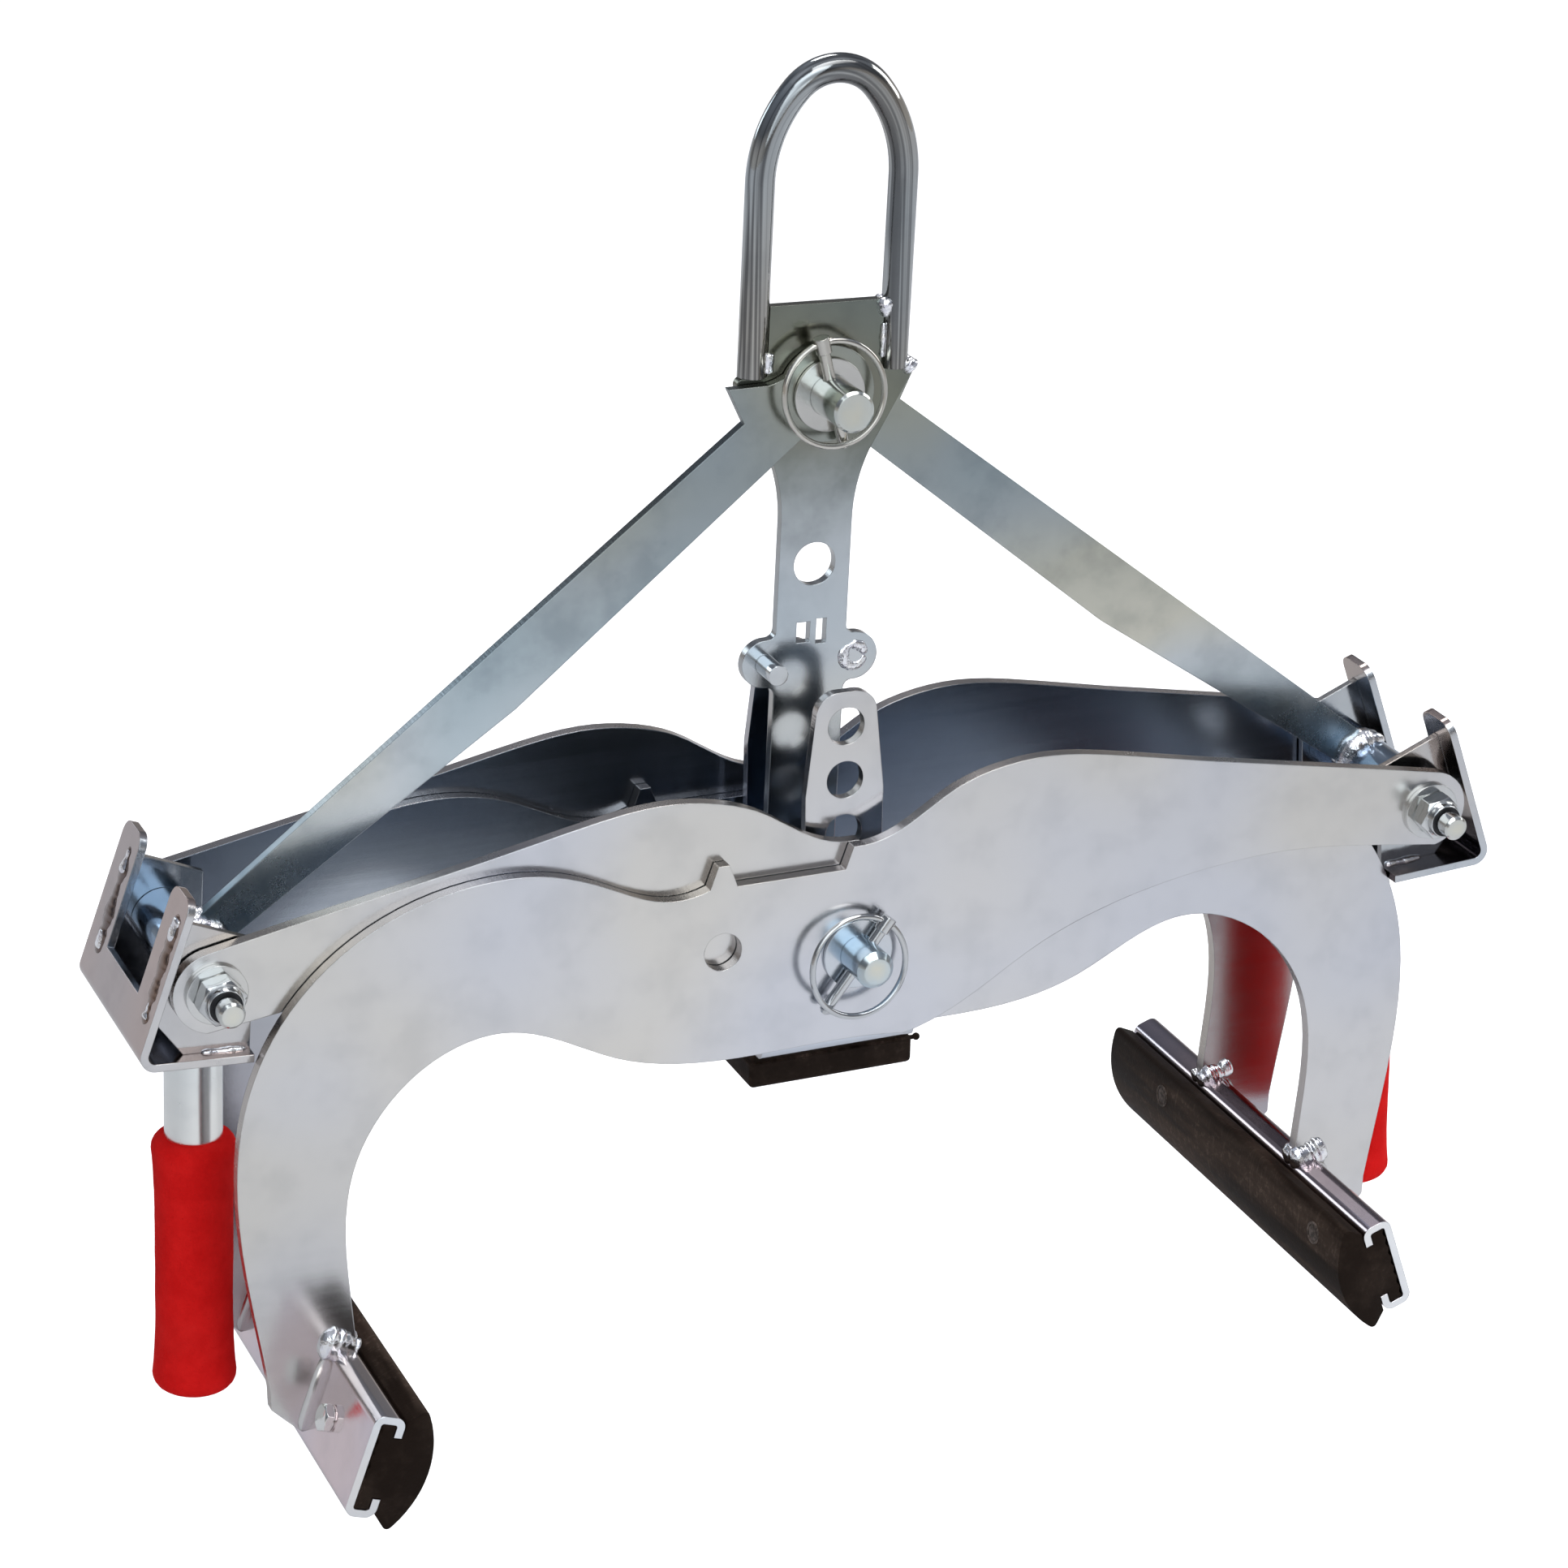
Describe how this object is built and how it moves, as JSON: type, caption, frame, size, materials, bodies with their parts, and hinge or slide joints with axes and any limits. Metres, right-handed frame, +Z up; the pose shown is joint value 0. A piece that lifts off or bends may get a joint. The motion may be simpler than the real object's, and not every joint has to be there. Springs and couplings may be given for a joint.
{
  "type": "scissor lifting tongs",
  "caption": "Scissor tongs for lifting kerb stones: crossed steel arms with rubber-lined jaws, handles with red grips, links to a hanger plate and a lifting bail.",
  "frame": {"origin": "on the floor below the centre pivot", "axes": "+X across the jaws to the right, +Y along the jaws away from the lynch pins, +Z up"},
  "size_m": [0.556, 0.2, 0.5124],
  "materials": {
    "zinc_steel": "bright zinc",
    "link_steel": "bluish zinc",
    "fastener_steel": "zinc",
    "spring_steel": "yellowish zinc",
    "rubber": "matt",
    "foam_grip": "matt foam"
  },
  "bodies": {
    "carrier": {"carrier_bracket": "zinc_steel", "foot_rubber": "rubber", "foot_screws": "fastener_steel", "pivot_pin": "zinc_steel", "pivot_washer_front": "fastener_steel", "pivot_washer_rear": "fastener_steel", "pivot_lynch_pin": "spring_steel", "pivot_spacer_front": "fastener_steel", "pivot_spacer_rear": "fastener_steel"},
    "arm_a": {"arm_a_front_plate": "zinc_steel", "arm_a_rear_plate": "zinc_steel", "left_jaw_channel": "zinc_steel", "left_jaw_rubber": "rubber", "left_jaw_bolts": "fastener_steel", "right_end_bracket": "zinc_steel", "right_gusset_front": "zinc_steel", "right_gusset_rear": "zinc_steel", "right_handle_tube": "zinc_steel", "right_grip": "foam_grip", "right_axle_stud": "fastener_steel", "right_axle_washer_front": "fastener_steel", "right_axle_washer_rear": "fastener_steel", "right_axle_nut_front": "fastener_steel", "right_axle_nut_rear": "fastener_steel"},
    "arm_b": {"arm_b_front_plate": "zinc_steel", "arm_b_rear_plate": "zinc_steel", "right_jaw_channel": "zinc_steel", "right_jaw_rubber": "rubber", "right_jaw_bolts": "fastener_steel", "left_end_bracket": "zinc_steel", "left_gusset_front": "zinc_steel", "left_gusset_rear": "zinc_steel", "left_handle_tube": "zinc_steel", "left_grip": "foam_grip", "left_axle_stud": "fastener_steel", "left_axle_washer_front": "fastener_steel", "left_axle_washer_rear": "fastener_steel", "left_axle_nut_front": "fastener_steel", "left_axle_nut_rear": "fastener_steel"},
    "top_joint": {"top_pin": "zinc_steel", "top_washer_front": "fastener_steel", "top_washer_rear": "fastener_steel", "top_lynch_pin": "spring_steel"},
    "hanger": {"hanger_plate": "zinc_steel", "lifting_bail": "zinc_steel", "guide_stud_front": "fastener_steel", "guide_stud_rear": "fastener_steel"},
    "left_link": {"left_link_plate": "link_steel", "left_link_bush": "zinc_steel"},
    "right_link": {"right_link_plate": "link_steel", "right_link_bush": "zinc_steel"},
    "pivot_ring": {"pivot_lynch_ring": "spring_steel"},
    "top_ring": {"top_lynch_ring": "spring_steel"}
  },
  "joints": [
    {"name": "arm_a_pivot", "type": "hinge", "parent": "carrier", "child": "arm_a", "pos_m": [0, 0, 0.1764], "axis": [0, -1, 0], "range_deg": [0, 18]},
    {"name": "arm_b_pivot", "type": "hinge", "parent": "carrier", "child": "arm_b", "pos_m": [0, 0, 0.1764], "axis": [0, 1, 0], "range_deg": [0, 18]},
    {"name": "top_pin_slide", "type": "slide", "parent": "carrier", "child": "top_joint", "axis": [0, 0, 1], "range_m": [0, 0.098]},
    {"name": "hanger_swing", "type": "hinge", "parent": "top_joint", "child": "hanger", "pos_m": [0, 0, 0.3864], "axis": [0, 1, 0], "range_deg": [-3.4, 0]},
    {"name": "left_link_pivot", "type": "hinge", "parent": "top_joint", "child": "left_link", "pos_m": [0, 0, 0.3864], "axis": [0, -1, 0], "range_deg": [0, 5]},
    {"name": "right_link_pivot", "type": "hinge", "parent": "top_joint", "child": "right_link", "pos_m": [0, 0, 0.3864], "axis": [0, 1, 0], "range_deg": [0, 5]},
    {"name": "pivot_ring_flip", "type": "hinge", "parent": "carrier", "child": "pivot_ring", "pos_m": [0.00961, -0.0505, 0.18915], "axis": [-0.7986, 0, 0.6018], "range_deg": [0, 160]},
    {"name": "top_ring_flip", "type": "hinge", "parent": "top_joint", "child": "top_ring", "pos_m": [-0.0051, -0.0115, 0.40746], "axis": [-0.972, 0, -0.2351], "range_deg": [0, 160]}
  ],
  "couplings": [
    {"joint": "arm_b_pivot", "follows": "arm_a_pivot", "ratio": 1},
    {"joint": "top_pin_slide", "follows": "arm_a_pivot", "m_per_rad": 0.31},
    {"joint": "left_link_pivot", "follows": "arm_a_pivot", "ratio": 0.274},
    {"joint": "right_link_pivot", "follows": "arm_a_pivot", "ratio": 0.274}
  ]
}
